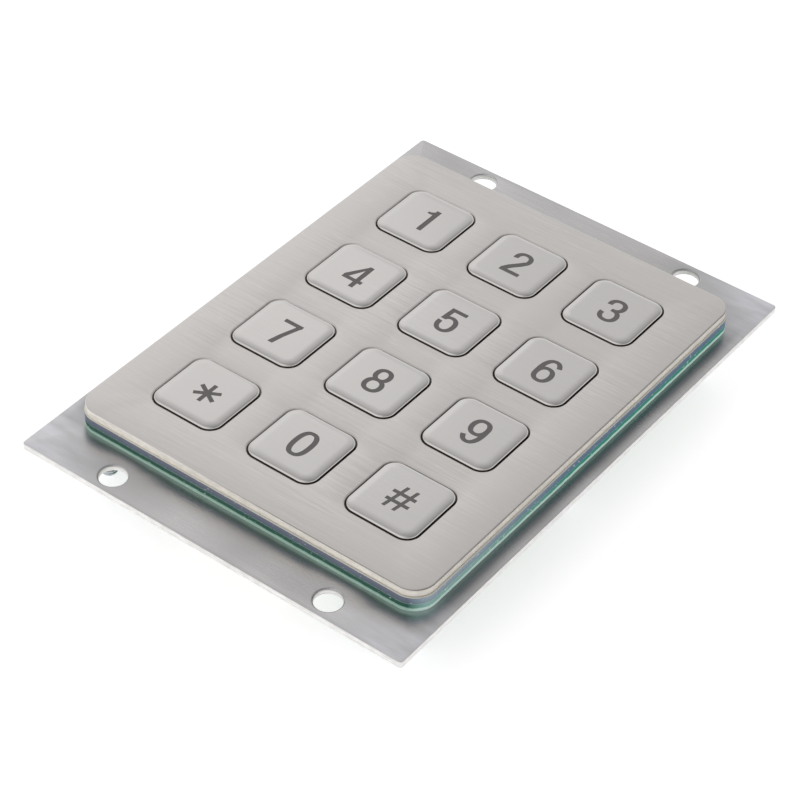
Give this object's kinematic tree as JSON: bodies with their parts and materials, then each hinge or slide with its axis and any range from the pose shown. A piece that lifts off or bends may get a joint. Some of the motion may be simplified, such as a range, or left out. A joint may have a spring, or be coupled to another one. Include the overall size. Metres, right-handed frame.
{
  "type": "keypad module",
  "caption": "Panel-mount metal keypad: square steel keys in a laminated steel and acrylic face on a wide drilled mounting plate, with a keymat and circuit board behind.",
  "frame": {"origin": "middle of the underside, in the plane of the six stud tips, with the keypad lying on its back", "axes": "+X to the right along a row of keys, +Y towards the top row of keys, +Z out of the face"},
  "size_m": [0.0738, 0.1036, 0.0154],
  "materials": {
    "face_steel": "fine brushed stainless steel, grain along X",
    "key_steel": "satin stainless steel, crowned, edges polished by the press tool",
    "plate_steel": "duller brushed stainless steel with sheared edges",
    "guide_acrylic": "cast acrylic sheet, blue-grey at its laser-cut edge",
    "pocket_acrylic": "cast acrylic sheet, pale green at its laser-cut edge",
    "silicone": "translucent grey moulded silicone",
    "carbon": "matt black carbon-loaded silicone",
    "board": "green solder mask on glass-epoxy board",
    "nylon": "natural off-white moulded nylon",
    "zinc": "bright zinc-plated steel",
    "legend": "dark grey infill in the engraved key legends",
    "tin": "tin-plated contact pins and solder",
    "copper": "gold-flashed copper pads on the board"
  },
  "bodies": {
    "module": {"face_plate": "face_steel", "key_guide_sheet": "guide_acrylic", "flange_pocket_sheet": "pocket_acrylic", "mounting_plate": "plate_steel", "keymat_base": "silicone", "circuit_board": "board", "connector_housing": "nylon", "dome_1": "silicone", "dome_2": "silicone", "dome_3": "silicone", "dome_4": "silicone", "dome_5": "silicone", "dome_6": "silicone", "dome_7": "silicone", "dome_8": "silicone", "dome_9": "silicone", "dome_star": "silicone", "dome_0": "silicone", "dome_hash": "silicone", "stud_top_left": "zinc", "stud_top_right": "zinc", "stud_middle_left": "zinc", "stud_middle_right": "zinc", "stud_bottom_left": "zinc", "stud_bottom_right": "zinc", "nut_top_left": "zinc", "nut_top_right": "zinc", "nut_middle_left": "zinc", "nut_middle_right": "zinc", "nut_bottom_left": "zinc", "nut_bottom_right": "zinc"},
    "button_1": {"key_1": "key_steel", "contact_pill_1": "carbon"},
    "button_2": {"key_2": "key_steel", "contact_pill_2": "carbon"},
    "button_3": {"key_3": "key_steel", "contact_pill_3": "carbon"},
    "button_4": {"key_4": "key_steel", "contact_pill_4": "carbon"},
    "button_5": {"key_5": "key_steel", "contact_pill_5": "carbon"},
    "button_6": {"key_6": "key_steel", "contact_pill_6": "carbon"},
    "button_7": {"key_7": "key_steel", "contact_pill_7": "carbon"},
    "button_8": {"key_8": "key_steel", "contact_pill_8": "carbon"},
    "button_9": {"key_9": "key_steel", "contact_pill_9": "carbon"},
    "button_star": {"key_star": "key_steel", "contact_pill_star": "carbon"},
    "button_0": {"key_0": "key_steel", "contact_pill_0": "carbon"},
    "button_hash": {"key_hash": "key_steel", "contact_pill_hash": "carbon"}
  },
  "joints": [
    {"name": "press_1", "type": "slide", "parent": "module", "child": "button_1", "axis": [0, 0, -1], "range_m": [0, 0.00045], "stiffness_N_per_m": 4800, "springref_m": -0.00006, "deforming": ["dome_1"]},
    {"name": "press_2", "type": "slide", "parent": "module", "child": "button_2", "axis": [0, 0, -1], "range_m": [0, 0.00045], "stiffness_N_per_m": 4800, "springref_m": -0.00006, "deforming": ["dome_2"]},
    {"name": "press_3", "type": "slide", "parent": "module", "child": "button_3", "axis": [0, 0, -1], "range_m": [0, 0.00045], "stiffness_N_per_m": 4800, "springref_m": -0.00006, "deforming": ["dome_3"]},
    {"name": "press_4", "type": "slide", "parent": "module", "child": "button_4", "axis": [0, 0, -1], "range_m": [0, 0.00045], "stiffness_N_per_m": 4800, "springref_m": -0.00006, "deforming": ["dome_4"]},
    {"name": "press_5", "type": "slide", "parent": "module", "child": "button_5", "axis": [0, 0, -1], "range_m": [0, 0.00045], "stiffness_N_per_m": 4800, "springref_m": -0.00006, "deforming": ["dome_5"]},
    {"name": "press_6", "type": "slide", "parent": "module", "child": "button_6", "axis": [0, 0, -1], "range_m": [0, 0.00045], "stiffness_N_per_m": 4800, "springref_m": -0.00006, "deforming": ["dome_6"]},
    {"name": "press_7", "type": "slide", "parent": "module", "child": "button_7", "axis": [0, 0, -1], "range_m": [0, 0.00045], "stiffness_N_per_m": 4800, "springref_m": -0.00006, "deforming": ["dome_7"]},
    {"name": "press_8", "type": "slide", "parent": "module", "child": "button_8", "axis": [0, 0, -1], "range_m": [0, 0.00045], "stiffness_N_per_m": 4800, "springref_m": -0.00006, "deforming": ["dome_8"]},
    {"name": "press_9", "type": "slide", "parent": "module", "child": "button_9", "axis": [0, 0, -1], "range_m": [0, 0.00045], "stiffness_N_per_m": 4800, "springref_m": -0.00006, "deforming": ["dome_9"]},
    {"name": "press_star", "type": "slide", "parent": "module", "child": "button_star", "axis": [0, 0, -1], "range_m": [0, 0.00045], "stiffness_N_per_m": 4800, "springref_m": -0.00006, "deforming": ["dome_star"]},
    {"name": "press_0", "type": "slide", "parent": "module", "child": "button_0", "axis": [0, 0, -1], "range_m": [0, 0.00045], "stiffness_N_per_m": 4800, "springref_m": -0.00006, "deforming": ["dome_0"]},
    {"name": "press_hash", "type": "slide", "parent": "module", "child": "button_hash", "axis": [0, 0, -1], "range_m": [0, 0.00045], "stiffness_N_per_m": 4800, "springref_m": -0.00006, "deforming": ["dome_hash"]}
  ]
}
